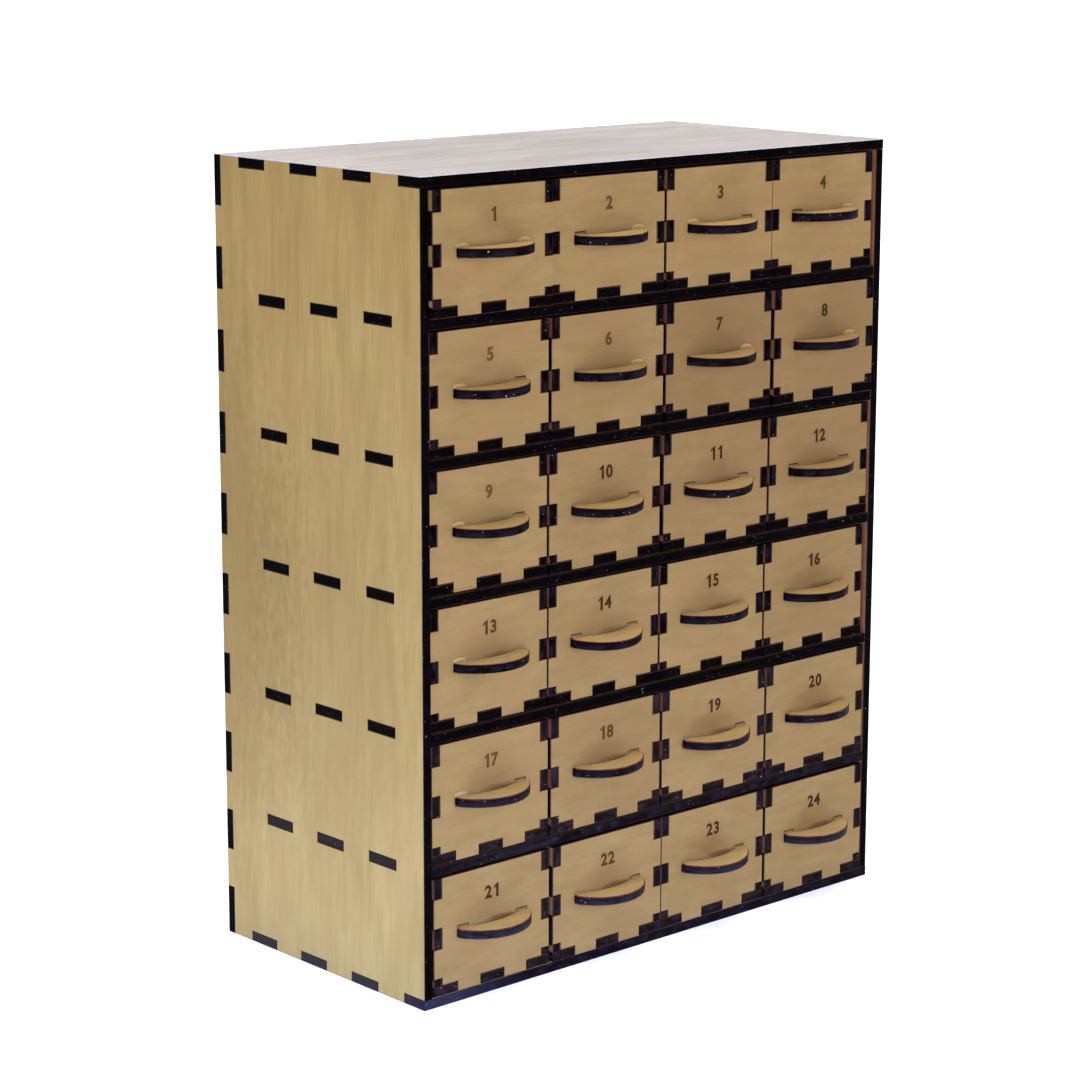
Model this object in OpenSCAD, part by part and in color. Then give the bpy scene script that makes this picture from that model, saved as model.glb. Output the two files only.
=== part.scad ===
// A chest of twenty-four little drawers for the days of advent, cut from one thickness of plywood.
// The cabinet is a box of finger-jointed panels with five shelves tabbed through its sides. Each row of
// four drawers stands on one shelf with no divider between them. Every drawer is a finger-jointed tray
// with a half-moon handle, whose two tabs sit in slots in the drawer's front.
// The front faces -Y, and the origin is the middle of the base.

/* [Sheet] */
// Thickness of the plywood that every piece is cut from
sheet = 4; // [3:0.5:5]
// Gap round each glued finger and tab, about what the cut burns away
joint_fit = 0.1; // [0.05:0.05:0.2]

/* [Cabinet] */
// Depth from the front edges to the outside of the back panel
cabinet_d = 124; // [112:1:160]
// Length of the top and bottom panels' front corner fingers in the sides
front_corner = 12; // [8:1:20]
// Number of fingers behind each of those corners, an odd number
depth_fingers = 7; // [3:2:9]
// Length of the back panel's corner fingers up the sides
upright_corner = 19.5; // [12:0.5:24]
// Number of fingers between those corners, an odd number
upright_fingers = 17; // [9:2:21]
// Length of the back panel's corner fingers along the top and the bottom
width_corner = 20; // [12:1:30]
// Number of fingers between those corners, an odd number
width_fingers = 13; // [5:2:15]

/* [Shelves] */
// Number of tabs at each end of a shelf
shelf_tabs = 3; // [2:1:3]
// Length of each tab
shelf_tab_w = 16; // [10:1:18]
// Distance from the cabinet's front edge to the first tab
shelf_tab_front = 16.5; // [8:0.5:20]
// Distance from the last tab to the back panel
shelf_tab_back = 23.5; // [8:0.5:26]

/* [Drawers] */
// Width of a drawer over its sides
drawer_w = 59; // [54:1:76]
// Height of a drawer
drawer_h = 47; // [40:1:60]
// Free room beside each drawer, shared out along its row
side_play = 1; // [0.8:0.1:2]
// Free room over each drawer
head_play = 0.8; // [0.4:0.1:2]
// Air between a drawer's bottom and what it slides on
slide_gap = 0.2; // [0.1:0.05:0.3]
// Room between a drawer's back and the back panel when its front is level with the cabinet
back_play = 2; // [1.5:0.1:6]
// Number of fingers along the bottom edge of a drawer's front, an odd number
front_fingers = 5; // [3:2:7]
// Number of fingers along the bottom edge of a drawer's side, an odd number
side_fingers = 7; // [5:2:9]

/* [Handle] */
// Thickness of the half-moon handle
handle_t = 3.6; // [3:0.1:4]
// Its width
handle_w = 36; // [30:1:44]
// How far the handle stands out at its middle
handle_reach = 12; // [9:0.5:16]
// Length of its short square ends, from the drawer's front
handle_end = 2; // [1:0.5:4]
// Depth of the fingertip hollow behind the handle
handle_hollow = 2.3; // [1.5:0.1:4]
// Length of the flat at each end that lies against the front
handle_flat = 6; // [5.5:0.5:8]
// Width of the tab on each flat
handle_tab = 5; // [3:0.5:5]
// Room over each tab in its slot, in which the handle droops before the glue sets
slot_play = 0.9; // [0.4:0.1:1.2]

/* [Hidden] */
// Twenty-four days, four to a row
columns = 4;
rows = 6;
// Heights at which a drawer's corner changes from one board's finger to the other's, up from the bottom
corner_shares = [0.15, 0.405, 0.575, 0.83];
// Where each drawer stands between its row's two ends, as a share of the row's free room
slip_shares = [
    [0.075, 0.225, 0.45, 0.55],
    [0.075, 0.35, 0.575, 0.9],
    [0.075, 0.2, 0.6, 0.8],
    [0.075, 0.15, 0.25, 0.35],
    [0.075, 0.325, 0.6, 0.75],
    [0.125, 0.5, 0.575, 0.8]];
// How far each drawer stands out of the cabinet, as a share of the sheet's thickness
stand_shares = [
    [0.45, 0.05, 0.05, -0.1],
    [-0.1, -0.05, 0.05, 0.15],
    [-0.3, -0.2, -0.15, -0.15],
    [-0.25, -0.2, -0.15, -0.1],
    [-0.1, 0, 0, 0.05],
    [0.05, 0.15, 0.1, 0.15]];
// How far each handle droops, as a share of the room over its tabs
droop_shares = [
    [0, 0.13, 0.23, 0],
    [0.12, 0.06, 0.33, 0.05],
    [0.26, 0.38, 0.6, 0.16],
    [0.06, 0.58, 0.14, 0.23],
    [0.12, 0.16, 0.29, 0.05],
    [0.09, 0.19, 0.32, 0.27]];
// How far a cut runs past the edge that it opens
overrun = 1;
// Each bay holds one row of drawers
bay_w = columns * (drawer_w + side_play);
bay_h = slide_gap + drawer_h + head_play;
bay_d = cabinet_d - sheet;
cabinet_w = bay_w + 2 * sheet;
cabinet_h = rows * bay_h + (rows + 1) * sheet;
drawer_l = bay_d - back_play;
row_play = bay_w - columns * drawer_w;
// A notch takes a finger of the sheet's thickness with its gap
notch = sheet + joint_fit;
shelf_tab_pitch = (bay_d - shelf_tab_front - shelf_tab_back - shelf_tab_w) / (shelf_tabs - 1);
// Radii of the handle's outer and inner arcs, each from its half chord and its rise
handle_r = arc_radius(handle_w / 2, handle_reach - handle_end);
hollow_r = arc_radius(handle_w / 2 - handle_flat, handle_hollow);
// Height of the handle's underside in the middle of the drawer's front
handle_low = (drawer_h - handle_t) / 2;
corner_heights = [for (share = corner_shares) share * drawer_h];
days = [for (day = [1:rows * columns]) day];
SHELVES = [for (i = [1:rows - 1]) str("shelf_", i)];
BOXES = [for (day = days) str("drawer_", two_digits(day), "_box")];
HANDLES = [for (day = days) str("drawer_", two_digits(day), "_handle")];
$fn = 96;

function arc_radius(half_chord, rise) = (half_chord * half_chord + rise * rise) / (2 * rise);
function two_digits(day) = day < 10 ? str("0", day) : str(day);
function row_of(day) = floor((day - 1) / columns);
function column_of(day) = (day - 1) % columns;
function bay_floor(row) = sheet + (rows - 1 - row) * (bay_h + sheet);
function stand_out(day) = stand_shares[row_of(day)][column_of(day)] * sheet;
function slip(day) = slip_shares[row_of(day)][column_of(day)] * row_play;
// The angle at which a tab's inner end has risen by the handle's share of its slot's room
function droop(day) = atan(droop_shares[row_of(day)][column_of(day)] * slot_play / sheet);

// A panel is its cut outline, drawn in X and Y and raised by the sheet's thickness. These three turn it
// to face forwards, to the left or upwards, with the outline's second axis upwards or to the back.
module facing_front() rotate([90, 0, 0]) translate([0, 0, -sheet]) linear_extrude(sheet) children();
module facing_side() rotate([90, 0, 90]) linear_extrude(sheet) children();
module facing_up() linear_extrude(sheet) children();

// One notch along an outline's lower edge, open at that edge
module edge_notch(from, to) {
    translate([from - joint_fit / 2, -overrun]) square([to - from + joint_fit, notch + overrun]);
}

// Every second finger's notch along an edge, from the first or from the one after it
module edge_comb(from, to, count, first) {
    pitch = (to - from) / count;
    for (i = [first:2:count - 1]) edge_notch(from + i * pitch, from + (i + 1) * pitch);
}

// A notch that takes away a corner, and the same at both ends of an edge
module corner_notch(length) edge_notch(-overrun, length);
module both_corners(edge, length) {
    corner_notch(length);
    translate([edge, 0]) mirror([1, 0]) corner_notch(length);
}

// These carry a cut from an outline's lower edge to its upper, left or right edge
module on_top_edge(height) translate([0, height]) mirror([0, 1]) children();
module on_left_edge() mirror([1, -1]) children();
module on_right_edge(width) translate([width, 0]) mirror([1, 0]) on_left_edge() children();
module on_both_ends(width) {
    on_left_edge() children();
    on_right_edge(width) children();
}

// The side's outline: depth across, height upwards. The top and bottom panels' fingers pass through it
// at its front corners, and the back panel's at its back corners.
module side_outline() {
    difference() {
        square([cabinet_d, cabinet_h]);
        for (up = [0, 1]) translate([0, up * cabinet_h]) mirror([0, up]) {
            corner_notch(front_corner);
            edge_comb(front_corner, cabinet_d, depth_fingers, 1);
        }
        on_right_edge(cabinet_d) {
            both_corners(cabinet_h, upright_corner);
            edge_comb(upright_corner, cabinet_h - upright_corner, upright_fingers, 1);
        }
        for (row = [0:rows - 2], i = [0:shelf_tabs - 1])
            translate([shelf_tab_front + i * shelf_tab_pitch, bay_floor(row) - sheet])
                translate([-joint_fit, -joint_fit])
                    square([shelf_tab_w + 2 * joint_fit, sheet + 2 * joint_fit]);
    }
}

module left_side_panel() {
    color("tan") translate([-cabinet_w / 2, -cabinet_d / 2, 0]) facing_side() side_outline();
}

module right_side_panel() {
    color("tan") translate([cabinet_w / 2 - sheet, -cabinet_d / 2, 0]) facing_side() side_outline();
}

// The top's outline, which is the bottom's too: width across, depth to the back
module lid_outline() {
    difference() {
        square([cabinet_w, cabinet_d]);
        on_both_ends(cabinet_w) edge_comb(front_corner, cabinet_d, depth_fingers, 0);
        on_top_edge(cabinet_d) {
            both_corners(cabinet_w, width_corner);
            edge_comb(width_corner, cabinet_w - width_corner, width_fingers, 1);
        }
    }
}

module top_panel() {
    color("wheat") translate([-cabinet_w / 2, -cabinet_d / 2, cabinet_h - sheet]) facing_up() lid_outline();
}

module bottom_panel() {
    color("wheat") translate([-cabinet_w / 2, -cabinet_d / 2, 0]) facing_up() lid_outline();
}

// The back covers the whole cabinet, and its four corners show at the corners of the box
module back_panel() {
    color("tan") translate([-cabinet_w / 2, cabinet_d / 2 - sheet, 0]) facing_front() difference() {
        square([cabinet_w, cabinet_h]);
        on_both_ends(cabinet_w)
            edge_comb(upright_corner, cabinet_h - upright_corner, upright_fingers, 0);
        for (up = [0, 1]) translate([0, up * cabinet_h]) mirror([0, up])
            edge_comb(width_corner, cabinet_w - width_corner, width_fingers, 0);
    }
}

// A shelf lies between the sides, level with their front edges, and its tabs come through them
module shelf(row) {
    color("tan") translate([-bay_w / 2, -cabinet_d / 2, bay_floor(row) - sheet]) facing_up() {
        translate([joint_fit, 0]) square([bay_w - 2 * joint_fit, bay_d - joint_fit]);
        for (i = [0:shelf_tabs - 1])
            translate([-sheet, shelf_tab_front + i * shelf_tab_pitch])
                square([cabinet_w, shelf_tab_w]);
    }
}

// Cuts in the end edge of a drawer's front and back, which the side's fingers fill: low, middle and top
module front_end_notches() {
    edge_notch(-overrun, corner_heights[0]);
    edge_notch(corner_heights[1], corner_heights[2]);
    edge_notch(corner_heights[3], drawer_h + overrun);
}

// Cuts in the end edge of a drawer's side, which the front's or the back's two fingers fill
module side_end_notches() {
    edge_notch(corner_heights[0], corner_heights[1]);
    edge_notch(corner_heights[2], corner_heights[3]);
}

// The front's and the back's outline: width across, height upwards
module drawer_end_outline() {
    difference() {
        square([drawer_w, drawer_h]);
        edge_comb(0, drawer_w, front_fingers, 0);
        on_both_ends(drawer_w) front_end_notches();
    }
}

// The side's outline: length to the back, height upwards
module drawer_side_outline() {
    difference() {
        square([drawer_l, drawer_h]);
        edge_comb(0, drawer_l, side_fingers, 0);
        on_both_ends(drawer_l) side_end_notches();
    }
}

// The bottom's outline: width across, length to the back
module drawer_bottom_outline() {
    difference() {
        square([drawer_w, drawer_l]);
        for (far = [0, 1]) translate([0, far * drawer_l]) mirror([0, far])
            edge_comb(0, drawer_w, front_fingers, 1);
        on_both_ends(drawer_w) edge_comb(0, drawer_l, side_fingers, 1);
    }
}

// Where the handle's tabs go through the front, each drawn on the same flat as its tab
module handle_slots() {
    for (end = [-1, 1])
        translate([(drawer_w + end * (handle_w - handle_flat) - handle_tab) / 2, handle_low])
            translate([-joint_fit, -joint_fit])
                square([handle_tab + 2 * joint_fit, joint_fit + handle_t + slot_play]);
}

// Places a drawer's own frame, whose corner is the low left end of its front, in the cabinet
module in_bay(day) {
    translate([
        slip(day) + column_of(day) * drawer_w - bay_w / 2,
        -cabinet_d / 2 - stand_out(day),
        bay_floor(row_of(day)) + slide_gap]) children();
}

// The tray: front, back, bottom and two sides, each its own board with a glue line between them
module drawer_box(day) {
    color("burlywood") in_bay(day) {
        facing_front() difference() {
            drawer_end_outline();
            handle_slots();
        }
        translate([0, drawer_l - sheet, 0]) facing_front() drawer_end_outline();
        facing_up() drawer_bottom_outline();
        facing_side() drawer_side_outline();
        translate([drawer_w - sheet, 0, 0]) facing_side() drawer_side_outline();
    }
}

// The half-moon: an outer arc between two short square ends, a hollow arc behind, and a tab on each flat.
// It droops about the lower edge of its slots.
module drawer_handle(day) {
    color("goldenrod") in_bay(day)
        translate([drawer_w / 2, 0, handle_low]) rotate([droop(day), 0, 0]) mirror([0, 1, 0])
            linear_extrude(handle_t) {
                difference() {
                    intersection() {
                        translate([0, handle_reach - handle_r]) circle(handle_r);
                        translate([-handle_w / 2, 0]) square([handle_w, handle_reach]);
                    }
                    translate([0, handle_hollow - hollow_r]) circle(hollow_r);
                }
                for (end = [-1, 1])
                    translate([(end * (handle_w - handle_flat) - handle_tab) / 2, -sheet])
                        square([handle_tab, sheet + handle_end]);
            }
}

left_side_panel();
right_side_panel();
top_panel();
bottom_panel();
back_panel();
for (i = [1:rows - 1]) shelf(i - 1);
for (day = days) drawer_box(day);
for (day = days) drawer_handle(day);
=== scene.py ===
import math
import random

import bmesh
import bpy
from mathutils import Matrix, Vector


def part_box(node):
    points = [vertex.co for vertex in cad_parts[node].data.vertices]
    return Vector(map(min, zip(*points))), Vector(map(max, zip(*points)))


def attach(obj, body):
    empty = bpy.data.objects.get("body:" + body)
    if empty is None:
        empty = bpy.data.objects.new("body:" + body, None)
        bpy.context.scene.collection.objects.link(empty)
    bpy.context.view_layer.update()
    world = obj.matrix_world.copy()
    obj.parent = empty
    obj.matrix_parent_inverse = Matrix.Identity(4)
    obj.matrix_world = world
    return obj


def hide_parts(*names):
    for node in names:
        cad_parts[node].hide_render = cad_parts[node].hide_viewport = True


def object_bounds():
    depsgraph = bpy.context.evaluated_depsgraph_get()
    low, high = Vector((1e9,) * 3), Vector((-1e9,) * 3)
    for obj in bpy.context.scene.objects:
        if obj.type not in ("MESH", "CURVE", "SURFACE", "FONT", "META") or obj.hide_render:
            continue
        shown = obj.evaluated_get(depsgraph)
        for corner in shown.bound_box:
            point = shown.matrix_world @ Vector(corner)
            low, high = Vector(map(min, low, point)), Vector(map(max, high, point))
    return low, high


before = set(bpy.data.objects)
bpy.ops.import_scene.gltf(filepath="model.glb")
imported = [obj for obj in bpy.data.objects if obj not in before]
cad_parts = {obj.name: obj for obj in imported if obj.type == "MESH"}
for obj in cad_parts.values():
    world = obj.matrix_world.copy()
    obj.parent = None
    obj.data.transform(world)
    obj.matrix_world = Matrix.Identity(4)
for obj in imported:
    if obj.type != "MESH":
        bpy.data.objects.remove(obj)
cad_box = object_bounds()

# Side panels. Each is one board of birch plywood with its face grain upright and painted shade at the back.
# The laser that cut it left the edges charred black, with a thin scorched rim round both faces. The panels
# are glued at their fingers.

MM = 0.001
X, Y, Z = range(3)
ALONG, ACROSS, THROUGH = range(3)
FACE, EDGE, RIM, TOP_HIGHLIGHT = range(4)
RIM_WIDTH = 0.18 * MM
SAME_POINT = 0.002 * MM
FLAT_ANGLE = math.radians(0.5)
ROUND_ANGLE = math.radians(25)
LIES_FLAT = 0.9
LOOKS_UP = 0.5
GRAIN_SLANT = 0.05
chance = random.Random(24)

# Places in the wood are in millimetres: the sheet's thickness, how far a log reaches, a depth past any sheet,
# and the middle of each stretch of a side darkened with painted shade, with its reach from there, up and
# back.
SHEET = 4.0
LOG_REACH = 3000
ANY_DEPTH = 1000
UPPER_BACK = ((155, 122), (150, 62))
LOWER_MIDDLE = ((135, 50), (110, 68))


class Shade:
    """A value in a material. Sums and products of such values add Math nodes."""

    def __init__(self, tree, socket=None):
        self.tree = tree
        self.socket = socket

    def node(self, kind, settings=(), values=(), output=0):
        """Adds a node of that kind, with its settings first and then its sockets' values or links."""
        made = self.tree.nodes.new("ShaderNode" + kind)
        for name, value in dict(settings).items():
            setattr(made, name, value)
        for name, value in dict(values).items():
            if isinstance(value, Shade):
                self.tree.links.new(value.socket, made.inputs[name])
            else:
                made.inputs[name].default_value = value
        return Shade(self.tree, made.outputs[output])

    def maths(self, operation, *values):
        return self.node("Math", {"operation": operation}, dict(enumerate(values)))

    def __add__(self, other):
        return self.maths("ADD", self, other)

    def __sub__(self, other):
        return self.maths("SUBTRACT", self, other)

    def __rsub__(self, other):
        return self.maths("SUBTRACT", other, self)

    def __mul__(self, other):
        return self.maths("MULTIPLY", self, other)

    __radd__ = __add__
    __rmul__ = __mul__

    def axis(self, number):
        """One coordinate of this place."""
        return self.node("SeparateXYZ", {}, {0: self}, number)

    def spread(self, low, high):
        """0 up to low, 1 from high, and a smooth rise between."""
        return self.node("MapRange", {"interpolation_type": "SMOOTHSTEP"},
                         {"Value": self, "From Min": low, "From Max": high})

    def mixed(self, first, second):
        """The first colour where this value is 0, and the second where it is 1."""
        return self.node("Mix", {"data_type": "RGBA"}, {0: self, 6: first, 7: second}, 2)


def sheet_place(shade):
    """Where a point lies on its board, in millimetres: along the grain, across it and through the sheet."""
    return shade.node("Attribute", {"attribute_name": "sheet"}, output="Vector")


def whole_place(shade):
    """Where a point lies on the whole calendar, in metres."""
    return shade.node("TexCoord", output="Object")


def blotches(shade, along, across, through, detail=2.0):
    """Noise whose blotches have those sizes in millimetres along a board's own slightly slanting grain."""
    grain = shade.node("Attribute", {"attribute_name": "grain"}, output="Vector")
    sizes = (1 / along, 1 / across, 1 / through)
    place = shade.node("VectorMath", {"operation": "MULTIPLY"}, {0: grain, 1: sizes})
    return shade.node("TexNoise", {}, {"Vector": place, "Scale": 1.0, "Detail": detail})


def haze(shade, middle, reach):
    """1 at a place on the board, fading to 0 at that reach in millimetres along and across."""
    away = shade.node("VectorMath", {"operation": "SUBTRACT"}, {0: sheet_place(shade), 1: (*middle, 0)})
    flat = shade.node("VectorMath", {"operation": "DIVIDE"}, {0: away, 1: (*reach, ANY_DEPTH)})
    distance = shade.node("VectorMath", {"operation": "LENGTH"}, {0: flat}, "Value")
    return 1 - (distance + blotches(shade, 6, 3, 6, 2.0) * 0.6 - 0.3).spread(0.2, 1.0)


def new_material(name):
    material = bpy.data.materials.new(name)
    material.use_nodes = True
    return material, Shade(material.node_tree)


def finish_material(colour, roughness, height, depth, specular):
    """Ends a material in its shader, with a bump whose full height is depth in metres."""
    shader = colour.tree.nodes["Principled BSDF"]
    shader.inputs["Specular IOR Level"].default_value = specular
    bump = colour.node("Bump", {}, {"Height": height, "Distance": depth, "Strength": 1.0})
    for socket, value in (("Base Color", colour), ("Roughness", roughness), ("Normal", bump)):
        colour.tree.links.new(value.socket, shader.inputs[socket])


def plywood_face(name, tones, figure, streaked, stains_and_painted_light=()):
    """Birch veneer in a pale, a warm, a dark and a blushing tone. It has soft figure of that length and
    width, fine streaks, dark pores and small knots, and marks of smoke, burn, painted shade and painted
    light where their functions put them."""
    material, shade = new_material(name)
    pale, warm, dark, blush = tones
    length, width = figure
    bands = blotches(shade, length, width, 60, 3.0).spread(0.28, 0.72)
    patch = blotches(shade, length * 1.6, width * 4, 60, 2.0).spread(0.3, 0.7)
    flush = blotches(shade, length * 2, width * 3, 60, 3.0).spread(0.42, 0.68)
    streaks = (blotches(shade, 10, 0.8, 8, 3.0).spread(0.35, 0.7) - 0.5) * patch
    fibre = blotches(shade, 7, 0.35, 4, 2.0)
    pores = blotches(shade, 3.5, 0.25, 1, 1.0).spread(0.62, 0.76)
    knots = blotches(shade, 2.6, 1.3, 2, 1.0).spread(0.79, 0.86)
    tone = bands * 0.45 + patch * 0.35 + streaks * streaked + fibre * 0.4 - 0.1
    wood = (flush * 0.6).mixed(tone.mixed(warm, pale), blush)
    colour = (pores * 0.22 + knots * 0.5).mixed(wood, dark)
    for marked, mark_colour in stains_and_painted_light:
        colour = (marked(shade) * (fibre * 0.7 + 0.65)).mixed(colour, mark_colour)
    finish_material(colour, roughness=fibre * 0.2 + 0.45, height=fibre - pores * 0.5, depth=0.03 * MM,
                    specular=0.2)
    return material


def charred_edge(name, soot, glint, brown, dust, specular, glossy=(0.42, 0.72), sunk=0.0, stains_and_painted_light=()):
    """A laser-cut edge: soot that is browner at its faces, with specks of dust, and in the middle of the
    sheet a grey glint, a painted sheen, where it is also glossier. A sunk glint and gloss lie that far below
    the middle, in millimetres. Painted light goes where its functions put it."""
    material, shade = new_material(name)
    down = sheet_place(shade).axis(THROUGH) + sunk
    middle = shade.maths("SINE", down * (math.pi / SHEET)).spread(0.1, 1.0)
    smudge = blotches(shade, 6, 6, 3, 3.0).spread(*glossy)
    streaks = blotches(shade, 14, 14, 0.4, 2.0).spread(0.45, 0.8)
    specks = blotches(shade, 0.8, 0.8, 0.8, 1.0).spread(0.74, 0.8)
    burnt = ((1 - middle) * (streaks * 0.5 + 0.35)).mixed(soot, brown)
    char = (middle * smudge * 0.8).mixed(burnt, glint)
    for marked, mark_colour in stains_and_painted_light:
        char = marked(shade).mixed(char, mark_colour)
    colour = (specks * 0.75).mixed(char, dust)
    finish_material(colour, roughness=0.4 - smudge * 0.15, height=streaks, depth=0.04 * MM, specular=specular)
    return material


def mottled_finish(name, tone, other):
    """Two dull mottled tones: the red-brown heat mark along a cut, a painted highlight or dried glue."""
    material, shade = new_material(name)
    mottle = blotches(shade, 3, 3, 3, 3.0)
    colour = mottle.spread(0.3, 0.7).mixed(tone, other)
    finish_material(colour, roughness=mottle * 0.1 + 0.5, height=mottle, depth=0.02 * MM, specular=0.2)
    return material


def aged_back(shade):
    """The darker stretch at the back of a side and round its middle, which is painted shade."""
    return haze(shade, *UPPER_BACK) * 0.75 + haze(shade, *LOWER_MIDDLE) * 0.4


def smoked_inside(shade):
    """A darker stretch of a side's inner face, next to its front edge."""
    from_middle = shade.maths("ABSOLUTE", whole_place(shade).axis(X))
    outside = from_middle.spread(cad_box[1][0] - 3 * MM, cad_box[1][0] - MM)
    return (1 - outside) * (1 - sheet_place(shade).axis(ACROSS).spread(6, 14))


def as_mesh(name, shape):
    """A finished bmesh as a mesh of that name."""
    mesh = bpy.data.meshes.new(name)
    shape.to_mesh(mesh)
    shape.free()
    return mesh


def show(name, data):
    """A new object in the scene that shows that mesh, text, light or camera."""
    made = bpy.data.objects.new(name, data)
    bpy.context.scene.collection.objects.link(made)
    return made


def loose_boards(mesh):
    """The separate boards of a CAD node, each a bmesh with its coplanar triangles made into flat faces."""
    whole = bmesh.new()
    whole.from_mesh(mesh)
    bmesh.ops.remove_doubles(whole, verts=whole.verts, dist=SAME_POINT)
    left = set(whole.verts)
    boards = []
    while left:
        reached = [min(left, key=lambda v: v.index)]
        left.discard(reached[0])
        for vert in reached:
            for edge in vert.link_edges:
                other = edge.other_vert(vert)
                if other in left:
                    left.discard(other)
                    reached.append(other)
        kept = set(reached)
        board = whole.copy()
        board.verts.ensure_lookup_table()
        spare = [board.verts[v.index] for v in whole.verts if v not in kept]
        bmesh.ops.delete(board, geom=spare, context="VERTS")
        bmesh.ops.dissolve_limit(board, angle_limit=FLAT_ANGLE, verts=board.verts, edges=board.edges)
        boards.append(board)
    whole.free()
    return boards


def corner_and_thin(board):
    """A board's lowest corner, and the axis along which it is thinnest."""
    low = Vector(min(v.co[i] for v in board.verts) for i in range(3))
    size = Vector(max(v.co[i] for v in board.verts) for i in range(3)) - low
    return low, min(range(3), key=lambda i: size[i])


def burnt_board(board, thin, width):
    """A board as a mesh, with charred edges, and a scorched rim of that width where they meet its faces."""
    board.normal_update()
    for face in board.faces:
        face.material_index = FACE if abs(face.normal[thin]) > LIES_FLAT else EDGE
    corners = [e for e in board.edges if len({f.material_index for f in e.link_faces}) == 2]
    bmesh.ops.bevel(board, geom=corners, offset=width, segments=1, profile=0.5, affect="EDGES", material=RIM)
    return as_mesh("board", board)


def mark_sheet(mesh, low, thin, grain):
    """Writes where each point lies on its board, and where in the log's slanting grain the board was cut."""
    across = ({X, Y, Z} - {thin, grain}).pop()
    slant = chance.uniform(-GRAIN_SLANT, GRAIN_SLANT)
    cut = [chance.uniform(0, LOG_REACH) for _ in range(3)]
    places = [(p[grain], p[across], p[thin]) for p in ((v.co - low) / MM for v in mesh.vertices)]
    grains = [(a - slant * b + cut[0], b + slant * a + cut[1], c + cut[2]) for a, b, c in places]
    for name, values in (("sheet", places), ("grain", grains)):
        layer = mesh.attributes.new(name, "FLOAT_VECTOR", "POINT")
        layer.data.foreach_set("vector", [x for value in values for x in value])


def cut_board(board, grain, rim_width=RIM_WIDTH):
    """One board as a mesh, with burnt edges and its grain along that axis."""
    low, thin = corner_and_thin(board)
    mesh = burnt_board(board, thin, rim_width)
    mark_sheet(mesh, low, thin, grain)
    return mesh


def finish_piece(name, boards, materials, body, nodes, rounded=False):
    """Joins boards into one piece that stands for its CAD nodes and moves with their body."""
    joined = bmesh.new()
    for board in boards:
        joined.from_mesh(board)
        bpy.data.meshes.remove(board)
    shape = as_mesh(name, joined)
    for material in materials:
        shape.materials.append(material)
    if rounded:
        shape.shade_smooth()
        shape.set_sharp_from_angle(angle=ROUND_ANGLE)
    piece = show(name, shape)
    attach(piece, body)
    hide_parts(*nodes)


def panel(node, grain, face, edge, rim):
    """A cabinet panel in place of its CAD node. Edges and rims at the lid's top get a pale painted highlight.
    """
    boards = [cut_board(board, grain) for board in loose_boards(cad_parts[node].data)]
    for polygon in (p for board in boards for p in board.polygons):
        on_top = polygon.normal.z > LOOKS_UP and polygon.center.z > cad_box[1][2] - MM
        if on_top and polygon.material_index != FACE:
            polygon.material_index = TOP_HIGHLIGHT
    finish_piece(node + "_board", boards, (face, edge, rim, painted_top_highlight), "cabinet", [node])


cabinet_tones = ((0.39, 0.27, 0.098, 1), (0.275, 0.172, 0.052, 1),
                 (0.13, 0.07, 0.022, 1), (0.35, 0.212, 0.077, 1))
cabinet_wood = {"tones": cabinet_tones, "figure": (40, 5), "streaked": 0.35}
cabinet_dust = (0.2, 0.2, 0.25, 1)
# The sides get painted shade at the back and round the middle, and a darker stretch of the inner face by the
# front.
side_face = plywood_face("side_plywood", **cabinet_wood,
                         stains_and_painted_light=((aged_back, (0.22, 0.132, 0.037, 1)),
                                 (smoked_inside, (0.31, 0.125, 0.065, 1))))
cabinet_edge = charred_edge("cabinet_char", soot=(0.0003, 0.0002, 0.0004, 1),
                            glint=(0.0018, 0.0012, 0.003, 1), brown=(0.004, 0.001, 0.001, 1),
                            dust=cabinet_dust, specular=0.008)
rim = mottled_finish("scorch", (0.05, 0.012, 0.008, 1), (0.008, 0.002, 0.002, 1))
# A pale blue-grey painted highlight for the up-facing edges and rims at the lid's top.
painted_top_highlight = mottled_finish("painted_top_highlight_finish", (0.55, 0.56, 0.66, 1), (0.38, 0.37, 0.42, 1))
for node in ("left_side_panel", "right_side_panel"):
    panel(node, Z, side_face, cabinet_edge, rim)

# Top and bottom panels. The same plywood, cut alike, with the grain from side to side and fingers that show
# in the sides, and a face colour painted paler and greyer as the sheen of the top. Their front edges are the
# black lines over and under the drawers. The bottom's char is painted paler and bluer, as painted light.

LEFT_FACE = cad_box[0][0]
CABINET_FRONT = -cad_box[1][1]


def behind_front(shade):
    """0 at the cabinet's front and 1 from a centimetre behind it."""
    return whole_place(shade).axis(Y).spread(CABINET_FRONT + MM, CABINET_FRONT + 10 * MM)


def by_left_corner(shade):
    """The front left corner of the bottom panel, where its char has a painted blue window reflection."""
    to_right = whole_place(shade).axis(X).spread(LEFT_FACE + 9 * MM, LEFT_FACE + 54 * MM)
    return (1 - to_right) * (1 - behind_front(shade)) * 0.8


def on_left_side(shade):
    """The ends of the tabs that show in the left side, painted paler as painted light."""
    inside = whole_place(shade).axis(X).spread(LEFT_FACE + 0.1 * MM, LEFT_FACE + 0.5 * MM)
    return (1 - inside) * behind_front(shade) * 0.7


# The top's face colour, paler and greyer than the sides', is a painted sheen; the bottom shares it.
lid_tones_painted_sheen = ((0.59, 0.53, 0.47, 1), (0.35, 0.285, 0.22, 1),
             (0.2, 0.14, 0.08, 1), (0.49, 0.41, 0.395, 1))
lid_face_painted_sheen = plywood_face("lid_plywood_painted_sheen", lid_tones_painted_sheen, figure=(45, 8), streaked=0.7)
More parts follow.
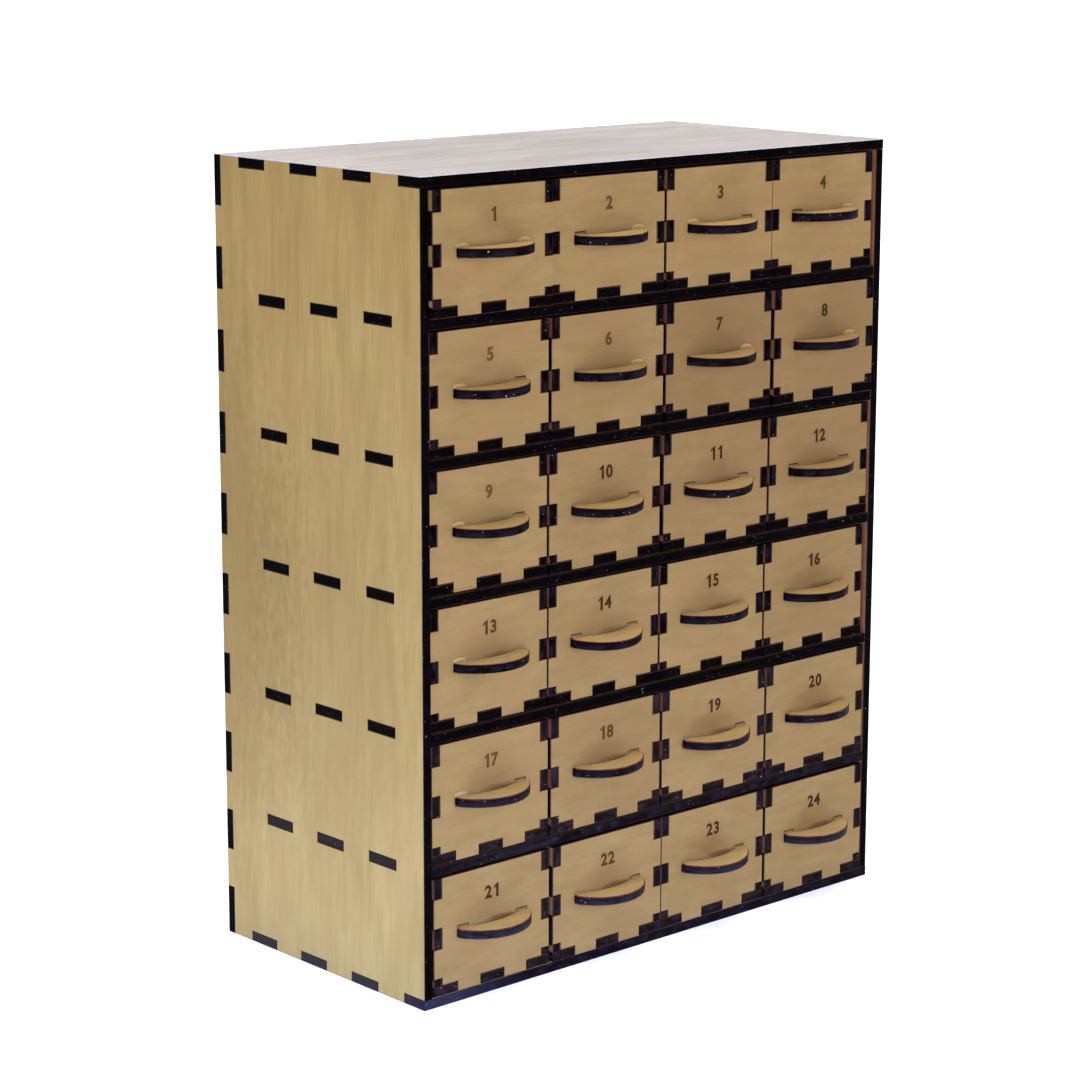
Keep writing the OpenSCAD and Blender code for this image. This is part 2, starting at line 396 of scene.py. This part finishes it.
# The bottom's char is painted paler and bluer than other edges, as painted light, with a painted reflection
# at the left.
bottom_edge_painted_light = charred_edge("bottom_char_painted_light", soot=(0.0018, 0.0015, 0.0035, 1),
                          glint=(0.008, 0.008, 0.018, 1), brown=(0.012, 0.004, 0.005, 1),
                          dust=cabinet_dust, specular=0.012,
                          stains_and_painted_light=((by_left_corner, (0.016, 0.0165, 0.035, 1)),
                                  (on_left_side, (0.036, 0.027, 0.026, 1))))
dark_rim = mottled_finish("dark_scorch", (0.014, 0.005, 0.004, 1), (0.004, 0.0015, 0.0015, 1))
panel("top_panel", X, lid_face_painted_sheen, cabinet_edge, dark_rim)
panel("bottom_panel", X, lid_face_painted_sheen, bottom_edge_painted_light, dark_rim)

# Back panel. One plain board of the same plywood over the whole back, with its grain upright. It is glued
# into the combs of the sides, the top and the bottom.

plain_face = plywood_face("cabinet_plywood", **cabinet_wood)
panel("back_panel", Z, plain_face, cabinet_edge, rim)

# Shelves. Five boards between the sides, each held by three tabs in slots at either end. Painted shade
# darkens their faces along the front, and the char of the lowest one is painted paler, as painted light.

LOWEST_SHELF = 5


def smoked_front(shade):
    """Painted shade on a shelf's face along its front edge."""
    return 1 - sheet_place(shade).axis(ACROSS).spread(2, 7)


# Painted shade darkens the shelves' faces along the front.
shelf_face = plywood_face("shelf_plywood", **cabinet_wood, stains_and_painted_light=((smoked_front, (0.02, 0.009, 0.006, 1)),))
# The lowest shelf's char is painted paler and bluer as painted light, and paler still at its tab ends in the
# left side.
low_shelf_edge_painted_light = charred_edge("low_shelf_char_painted_light", soot=(0.0015, 0.0013, 0.0025, 1),
                              glint=(0.0105, 0.0105, 0.018, 1), brown=(0.014, 0.004, 0.005, 1),
                              dust=cabinet_dust, specular=0.012,
                              stains_and_painted_light=((on_left_side, (0.021, 0.014, 0.0145, 1)),))
for number in range(1, LOWEST_SHELF + 1):
    edge = low_shelf_edge_painted_light if number == LOWEST_SHELF else cabinet_edge
    panel(f"shelf_{number}", X, shelf_face, edge, dark_rim)

# Drawers. Each is a tray of five finger-jointed boards, some browner than others, with the day's number burnt
# into the front, fainter on some. Smoke has browned the front round the digits; over the handle and at its
# root the darkening is smoke and painted shade, and over the upper handles it is painted light. Burn and
# painted shade darken the sides by their joints. The low rows' char is painted paler, as painted light.

COLUMNS, ROWS = 4, 6
DAYS = range(1, COLUMNS * ROWS + 1)
LOW_ROW, LOWEST_ROW = 5, 6
BURN, TRAY, UNDER = 3, 4, 5
TRAY_RIM = 0.27 * MM
DIGIT_HEIGHT = 5.5 * MM
DIGIT_PITCH = 4.0 * MM
DIGIT_DROP = 10.6 * MM
DIGIT_DEPTH = 0.25 * MM
FONT_CAP_SHARE = 0.73
FONT_BOLDER = 0.26 * MM
ONE_SHARES = ((0.12, 0.0), (0.12, 1.0), (-0.03, 1.0), (-0.31, 0.8), (-0.31, 0.61), (-0.12, 0.76),
              (-0.12, 0.0))

# How strongly a day's boards are marked, where that differs from the common drawer. The sides' darkening by
# their joints is burn and painted shade, weaker where light falls on them. Over the handle a value above 0 is
# smoke and painted shade, and one below 0 is painted light that leaves the wood over the handle paler.
JOINT_BURN_AND_SHADE = 0.9
PALE_SIDES = {1: 0.12, 3: 0.1, 6: 0.75, 8: 0.6, 22: 0.55, 24: 0.7}
FAINT_NUMBERS = {1: 0.5, 2: 0.6, 3: 0.3, 4: 0.3, 5: 0.8, 6: 0.6, 7: 0.2, 9: 0.8, 13: 0.3, 17: 0.6, 18: 0.4,
                 19: 0.1, 22: 0.3}
BROWNER_BOARDS = {6: 0.12, 7: 0.4, 8: 0.3, 10: 0.18, 11: 0.22, 12: 0.2, 14: 0.08, 16: 0.15, 18: 0.12}
COMMON_SMOKE_AND_SHADE = 1.0
SMOKE_AND_LIGHT_OVER_HANDLE = {1: -0.9, 2: -0.4, 3: -0.6, 4: -0.5, 5: -0.3, 6: 0.5, 7: 0.8, 9: 0.2, 13: 0.5, 14: 0.5,
                18: 1.5, 19: 2.0, 20: 1.7, 21: 0.4, 23: 2.2, 24: 1.4}

# The middle of each mark on a front, whether smoke, painted shade or painted light, and its reach from there,
# in millimetres from the lower left corner.
ROUND_DIGITS = ((29.5, 36), (8, 6))
OVER_HANDLE = ((28, 30), (16, 6))
NEXT_TO_HANDLE = ((28, 27.5), (16, 4))
HANDLE_ROOT = ((33, 25.2), (10, 1.7))


def row(day):
    """The row of a day's drawer, counted from the top."""
    return (day + COLUMNS - 1) // COLUMNS


def board_mark(name):
    """A value that is the same all over a board, as its maker wrote it there."""
    return lambda shade: shade.node("Attribute", {"attribute_name": name}, output="Fac")


def front_smoke(shade):
    """The smoke round the digits, and a stronger darkening over the handle of smoke and painted shade."""
    over = haze(shade, *OVER_HANDLE) * board_mark("smoke_and_light_over_handle")(shade)
    return haze(shade, *ROUND_DIGITS) * 0.16 + over * 0.3


def smoke_missed(shade):
    """Painted light over the upper handles, whose value there is below 0, paler than the rest of the front.
    """
    return haze(shade, *NEXT_TO_HANDLE) * (0 - board_mark("smoke_and_light_over_handle")(shade)) * 0.4


def root_soot(shade):
    """The soot and painted shade in the corner between a front and its handle, stronger in the lower rows."""
    return haze(shade, *HANDLE_ROOT) * board_mark("root_soot")(shade) * 0.8


def joint_smoke(shade):
    """The burn and painted shade that darken a side's outer face behind its fingers."""
    return (1 - sheet_place(shade).axis(ALONG).spread(1.5, 8)) * board_mark("joint_smoke")(shade)


def burnt_mark(name, dark, light, faint):
    """The floor of a burnt number, which the laser left fainter on some drawers."""
    material, shade = new_material(name)
    soot = blotches(shade, 0.8, 0.8, 0.8, 2.0)
    colour = board_mark("faint")(shade).mixed(soot.spread(0.35, 0.7).mixed(dark, light), faint)
    finish_material(colour, roughness=soot * 0.2 + 0.7, height=soot, depth=0.03 * MM, specular=0.03)
    return material


def made_real(shown):
    """The mesh that an object shows once its text is drawn or its cut is made. The object itself goes."""
    bpy.context.view_layer.update()
    mesh = bpy.data.meshes.new_from_object(shown.evaluated_get(bpy.context.evaluated_depsgraph_get()))
    bpy.data.objects.remove(shown)
    return mesh


def one_glyph():
    """A figure one, with the flag that the built-in font leaves out."""
    flat = bmesh.new()
    corners = [flat.verts.new((x * DIGIT_HEIGHT, y * DIGIT_HEIGHT, -DIGIT_DEPTH)) for x, y in ONE_SHARES]
    raised = bmesh.ops.extrude_face_region(flat, geom=[flat.faces.new(corners)])["geom"]
    top = [v for v in raised if isinstance(v, bmesh.types.BMVert)]
    bmesh.ops.translate(flat, vec=(0, 0, 2 * DIGIT_DEPTH), verts=top)
    bmesh.ops.recalc_face_normals(flat, faces=flat.faces)
    return as_mesh("glyph", flat)


def font_glyph(digit):
    """Any other figure, from the built-in font made a little bolder. A six is a nine turned round."""
    text = bpy.data.curves.new("glyph", "FONT")
    text.body = digit.replace("6", "9")
    text.size = (DIGIT_HEIGHT - 2 * FONT_BOLDER) / FONT_CAP_SHARE
    text.offset = FONT_BOLDER
    text.extrude = DIGIT_DEPTH
    glyph = made_real(show("glyph", text))
    if digit == "6":
        glyph.transform(Matrix.Rotation(math.pi, 4, "Z"))
    return glyph


def burnt_digits(day, middle):
    """The number as a solid that reaches into the drawer's front, round that point of its face."""
    solid = bmesh.new()
    figures = str(day)
    for place, digit in enumerate(figures):
        glyph = one_glyph() if digit == "1" else font_glyph(digit)
        spans = [[v.co[i] for v in glyph.vertices] for i in (X, Y)]
        centre = [(min(span) + max(span)) / 2 for span in spans]
        shift = (place - (len(figures) - 1) / 2) * DIGIT_PITCH
        glyph.transform(Matrix.Translation((shift - centre[X], -centre[Y], 0)))
        solid.from_mesh(glyph)
        bpy.data.meshes.remove(glyph)
    bmesh.ops.rotate(solid, verts=solid.verts, matrix=Matrix.Rotation(math.pi / 2, 3, "X"))
    bmesh.ops.translate(solid, verts=solid.verts, vec=middle)
    return as_mesh("number", solid)


def engrave(mesh, solid):
    """Cuts the number into the front's mesh. The cut's own faces come out burnt."""
    for shape in (mesh, solid):
        for material in TRAY_FINISH:
            shape.materials.append(material)
    for polygon in solid.polygons:
        polygon.material_index = BURN
    front = show("front", mesh)
    number = show("number", solid)
    cut = front.modifiers.new("cut", "BOOLEAN")
    cut.operation = "DIFFERENCE"
    cut.solver = "EXACT"
    cut.object = number
    cut.use_self = True
    engraved = made_real(front)
    bpy.data.objects.remove(number)
    return engraved


def tray(day):
    """A drawer's five boards, with the number in the front one."""
    node = f"drawer_{day:02d}_box"
    low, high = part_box(node)
    boards = []
    for board in loose_boards(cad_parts[node].data):
        corner, thin = corner_and_thin(board)
        mesh = burnt_board(board, thin, TRAY_RIM)
        if thin == Y and corner.y - low.y < MM:
            middle = ((low.x + high.x) / 2, low.y, high.z - DIGIT_DROP)
            mesh = engrave(mesh, burnt_digits(day, middle))
        else:
            for polygon in mesh.polygons:
                if polygon.material_index == FACE:
                    polygon.material_index = TRAY
                elif polygon.material_index == EDGE and thin == Z:
                    polygon.material_index = UNDER
        mark_sheet(mesh, corner, thin, X if thin == Y else Y)
        marks = {"joint_smoke": PALE_SIDES.get(day, JOINT_BURN_AND_SHADE) if thin == X else 0.0,
                 "faint": FAINT_NUMBERS.get(day, 0.0), "browned": BROWNER_BOARDS.get(day, 0.0),
                 "smoke_and_light_over_handle": SMOKE_AND_LIGHT_OVER_HANDLE.get(day, COMMON_SMOKE_AND_SHADE), "root_soot": row(day) / ROWS}
        for name, value in marks.items():
            layer = mesh.attributes.new(name, "FLOAT", "POINT")
            layer.data.foreach_set("value", [value] * len(mesh.vertices))
        boards.append(mesh)
    finish = TRAY_FINISH if row(day) < LOW_ROW else LOW_TRAY_FINISH
    finish_piece(f"drawer_{day:02d}_tray", boards, finish, f"drawer_{day:02d}", [node])


front_tones = ((0.204, 0.133, 0.052, 1), (0.152, 0.094, 0.032, 1),
               (0.07, 0.038, 0.012, 1), (0.19, 0.11, 0.045, 1))
# Over the handle the front darkens with smoke and painted shade, and over the upper handles it is painted
# paler.
front_face = plywood_face("front_plywood", front_tones, figure=(15, 4.5), streaked=0.3,
                          stains_and_painted_light=((front_smoke, (0.13, 0.064, 0.018, 1)),
                                  (smoke_missed, (0.3, 0.2, 0.085, 1)),
                                  (root_soot, (0.09, 0.031, 0.009, 1)),
                                  (board_mark("browned"), (0.09, 0.04, 0.0145, 1))))
tray_tones = ((0.34, 0.22, 0.083, 1), (0.24, 0.146, 0.047, 1),
              (0.12, 0.066, 0.022, 1), (0.3, 0.173, 0.068, 1))
tray_face = plywood_face("tray_plywood", tray_tones, figure=(26, 6), streaked=0.12,
                         stains_and_painted_light=((joint_smoke, (0.15, 0.042, 0.02, 1)),))
drawer_dust = (0.3, 0.29, 0.3, 1)
drawer_edge = charred_edge("drawer_char", soot=(0.0005, 0.0003, 0.0006, 1),
                           glint=(0.01, 0.0075, 0.014, 1), brown=(0.01, 0.002, 0.002, 1),
                           dust=drawer_dust, specular=0.005)
# The low rows' char is a paler copy, as painted light.
low_drawer_edge_painted_light = charred_edge("low_drawer_char_painted_light", soot=(0.003, 0.002, 0.003, 1),
                               glint=(0.018, 0.0125, 0.019, 1), brown=(0.02, 0.008, 0.007, 1),
                               dust=drawer_dust, specular=0.01)
digit_burn = burnt_mark("burnt_number", dark=(0.025, 0.01, 0.003, 1), light=(0.05, 0.022, 0.007, 1),
                        faint=(0.1, 0.052, 0.018, 1))
TRAY_FINISH = (front_face, drawer_edge, rim, digit_burn, tray_face, cabinet_edge)
LOW_TRAY_FINISH = (front_face, low_drawer_edge_painted_light, rim, digit_burn, tray_face, low_drawer_edge_painted_light)
for day in DAYS:
    tray(day)

# Handles. A half-moon of thinner board stands level out of each front, with its tabs glued in two slots. Its
# face is a little yellower, with smoke and painted shade towards the front. Its curved edge is burnt
# red-brown along the top, with a painted blue-grey sheen below, painted paler in the low rows as painted
# light.

LEFT, RIGHT = -1, 1
HANDLE_RIM = 0.25 * MM
LOW_HANDLE_RIM = 0.4 * MM
SUNK_GLOSS = 0.8
SLOT_WIDTH = 5.2 * MM
SLOT_SPACING = 30 * MM
SLOT_LOW = 21.6 * MM
SLOT_HEIGHT = 4.6 * MM


def browned_root(shade):
    """The smoke and painted shade on a handle's face towards the front it is glued to."""
    back = sheet_place(shade).axis(ACROSS) + blotches(shade, 5, 3, 5, 2.0) * 8
    return back.spread(10, 19) * 0.6


handle_tones = ((0.53, 0.365, 0.14, 1), (0.39, 0.247, 0.086, 1),
                (0.2, 0.11, 0.034, 1), (0.46, 0.287, 0.11, 1))
handle_face = plywood_face("handle_plywood", handle_tones, figure=(20, 4), streaked=0.8,
                           stains_and_painted_light=((browned_root, (0.2, 0.1, 0.032, 1)),))
handle_dust = (0.55, 0.53, 0.6, 1)
# Each handle's blue-grey glint is a painted sheen, and the low rows' copies are painted paler as painted
# light.
handle_edge = charred_edge("handle_char", soot=(0.0012, 0.0008, 0.0014, 1),
                           glint=(0.0068, 0.0064, 0.0132, 1), brown=(0.009, 0.0016, 0.0018, 1),
                           dust=handle_dust, specular=0.007, glossy=(0.36, 0.6), sunk=SUNK_GLOSS)
low_handle_edge_painted_light = charred_edge("low_handle_char_painted_light", soot=(0.002, 0.0016, 0.0028, 1),
                               glint=(0.0088, 0.0086, 0.017, 1), brown=(0.014, 0.003, 0.003, 1),
                               dust=handle_dust, specular=0.007, glossy=(0.32, 0.54), sunk=SUNK_GLOSS)
lowest_handle_edge_painted_light = charred_edge("lowest_handle_char_painted_light", soot=(0.0045, 0.004, 0.0072, 1),
                                  glint=(0.013, 0.0148, 0.027, 1), brown=(0.022, 0.005, 0.005, 1),
                                  dust=handle_dust, specular=0.009, glossy=(0.32, 0.54), sunk=SUNK_GLOSS)
handle_rim = mottled_finish("handle_scorch", (0.1, 0.022, 0.014, 1), (0.02, 0.005, 0.004, 1))
low_edges = {LOW_ROW: low_handle_edge_painted_light, LOWEST_ROW: lowest_handle_edge_painted_light}
for day in DAYS:
    node = f"drawer_{day:02d}_handle"
    edge = low_edges.get(row(day), handle_edge)
    rim_width = HANDLE_RIM if row(day) < LOW_ROW else LOW_HANDLE_RIM
    boards = [cut_board(board, X, rim_width) for board in loose_boards(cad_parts[node].data)]
    finish_piece(f"{node}_board", boards, (handle_face, edge, handle_rim), f"drawer_{day:02d}", [node],
                 rounded=True)

# Glue. Wood glue holds each handle's two tabs in their slots. It has dried level with the front, short of the
# slot's top, or pale with a small lump that was squeezed out over the tab.

PALE_GLUE = {1: (LEFT, RIGHT), 2: (RIGHT,), 3: (LEFT,), 4: (RIGHT,), 5: (LEFT,), 6: (RIGHT,), 7: (RIGHT,),
             8: (RIGHT,), 9: (LEFT,), 13: (LEFT,), 17: (LEFT,)}
SHORT_GLUE = {2: (LEFT,), 3: (RIGHT,), 4: (LEFT,), 5: (RIGHT,), 9: (RIGHT,), 10: (RIGHT,),
              11: (LEFT, RIGHT), 12: (LEFT, RIGHT), 14: (LEFT, RIGHT), 17: (RIGHT,), 18: (RIGHT,),
              19: (RIGHT,), 21: (LEFT, RIGHT), 22: (RIGHT,), 23: (RIGHT,), 24: (LEFT, RIGHT)}
GLUE_DEPTH = 0.8 * MM
GLUE_OVER = 0.3 * MM
GLUE_PROUD = 0.04 * MM
GLUE_SHORT = 0.25 * MM
LUMP_REACH = (2.3 * MM, 0.45 * MM, 0.8 * MM)
PALE = 1


def fill_slot(glue, foot, day, side):
    """The glue in one slot, whose lower edge has its middle at that foot in the face of the front."""
    first = len(glue.faces)
    beyond, proud, above = GLUE_OVER, GLUE_PROUD, GLUE_OVER
    if side in SHORT_GLUE.get(day, ()):
        beyond, proud, above = 0.0, -TRAY_RIM / 2, -GLUE_SHORT
    size = Vector((SLOT_WIDTH + 2 * beyond, GLUE_DEPTH, SLOT_HEIGHT + above))
    place = foot + Vector((0, GLUE_DEPTH / 2 - proud, size.z / 2))
    bmesh.ops.create_cube(glue, size=1.0, matrix=Matrix.Translation(place) @ Matrix.Diagonal((*size, 1)))
    if side in PALE_GLUE.get(day, ()):
        top = Matrix.Translation(foot + Vector((0, 0, SLOT_HEIGHT)))
        lump = top @ Matrix.Diagonal((*LUMP_REACH, 1))
        bmesh.ops.create_icosphere(glue, subdivisions=3, radius=1.0, matrix=lump)
        glue.faces.ensure_lookup_table()
        for face in glue.faces[first:]:
            face.material_index = PALE
            face.smooth = len(face.verts) == 3


level_glue = mottled_finish("level_glue", (0.17, 0.105, 0.038, 1), (0.13, 0.076, 0.026, 1))
pale_glue = mottled_finish("dried_glue", (0.32, 0.225, 0.105, 1), (0.25, 0.165, 0.07, 1))
for day in DAYS:
    low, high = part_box(f"drawer_{day:02d}_box")
    middle = Vector(((low.x + high.x) / 2, low.y, low.z + SLOT_LOW))
    glue = bmesh.new()
    for side in (LEFT, RIGHT):
        fill_slot(glue, middle + Vector((side * SLOT_SPACING / 2, 0, 0)), day, side)
    bead = show(f"drawer_{day:02d}_glue", as_mesh("beads", glue))
    for material in (level_glue, pale_glue):
        bead.data.materials.append(material)
    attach(bead, f"drawer_{day:02d}")

# Studio. The camera stands where the photograph was taken, left of the cabinet and a little above it. A
# softbox stands straight in front and a window behind. Bright pools on the plain white floor and two low
# bluish lamps light the lowest drawers and the foot of the left side.

CAMERA_PLACE = Vector((-0.8440, -0.9229, 0.4236))
CAMERA_AIM = Vector((0.65581, 0.72522, -0.20969))
CAMERA_ROLL = math.radians(0.101)
CAMERA_LENS = 104.14
CAMERA_FILM = 36.0
FLOOR_REACH = 40.0

camera = show("camera", bpy.data.cameras.new("camera"))
camera.data.lens = CAMERA_LENS
camera.data.sensor_width = CAMERA_FILM
turn = CAMERA_AIM.to_track_quat("-Z", "Y").to_matrix().to_4x4() @ Matrix.Rotation(CAMERA_ROLL, 4, "Z")
camera.matrix_world = Matrix.Translation(CAMERA_PLACE) @ turn
bpy.context.scene.camera = camera
bpy.context.scene.view_settings.view_transform = "Standard"

ground = bmesh.new()
bmesh.ops.create_grid(ground, x_segments=1, y_segments=1, size=FLOOR_REACH)
floor = show("floor", as_mesh("floor", ground))
floor_paint, _ = new_material("floor_paint")
floor_shader = floor_paint.node_tree.nodes["Principled BSDF"]
floor_shader.inputs["Base Color"].default_value = (0.95, 0.95, 0.95, 1)
floor_shader.inputs["Roughness"].default_value = 0.9
floor_shader.inputs["Emission Color"].default_value = (0.88, 0.94, 1.0, 1)
floor_shader.inputs["Emission Strength"].default_value = 0.35
floor.data.materials.append(floor_paint)

world = bpy.data.worlds.new("studio")
world.use_nodes = True
world.node_tree.nodes["Background"].inputs["Color"].default_value = (0.97, 0.98, 1.0, 1)
world.node_tree.nodes["Background"].inputs["Strength"].default_value = 0.5
bpy.context.scene.world = world


def lamp(kind, name, place, aim, power, **settings):
    """A light of that kind at a place, turned to a point."""
    light = bpy.data.lights.new(name, kind)
    light.energy = power
    for setting, value in settings.items():
        setattr(light, setting, value)
    turned = (Vector(aim) - Vector(place)).to_track_quat("-Z", "Y").to_matrix().to_4x4()
    show(name, light).matrix_world = Matrix.Translation(place) @ turned


lamp("SUN", "overhead", place=(0, 0, 3), aim=(0, 0, 0), power=1.6, angle=math.radians(30))
lamp("AREA", "back_window", place=(1.9, 2.1, 1.35), aim=(0, 0, 0.3), power=18.0,
     size=2.0, color=(0.75, 0.84, 1.0))
lamp("SPOT", "side_pool", place=(-0.22, 0.0, 1.8), aim=(-0.5, 0.05, 0), power=150.0,
     spot_size=math.radians(26), spot_blend=1.0, shadow_soft_size=0.1)
lamp("SPOT", "low_window", place=(-1.6, -0.6, 0.3), aim=(-0.1, -0.02, -0.06), power=150.0,
     spot_size=math.radians(19), spot_blend=1.0, shadow_soft_size=0.2, color=(0.18, 0.43, 1.0))
lamp("AREA", "front_softbox", place=(0.1, -2.0, 0.6), aim=(0, 0, 0.16), power=34.0,
     size=1.0, color=(1.0, 0.97, 0.93))
lamp("SPOT", "low_front", place=(-0.95, -1.5, 0.3), aim=(-0.14, -0.06, -0.1), power=290.0,
     spot_size=math.radians(16), spot_blend=1.0, shadow_soft_size=0.25, color=(0.52, 0.62, 1.0))
lamp("SPOT", "front_pool", place=(-0.3, -0.28, 1.8), aim=(-0.32, -0.58, 0), power=220.0,
     spot_size=math.radians(26), spot_blend=1.0, shadow_soft_size=0.1)
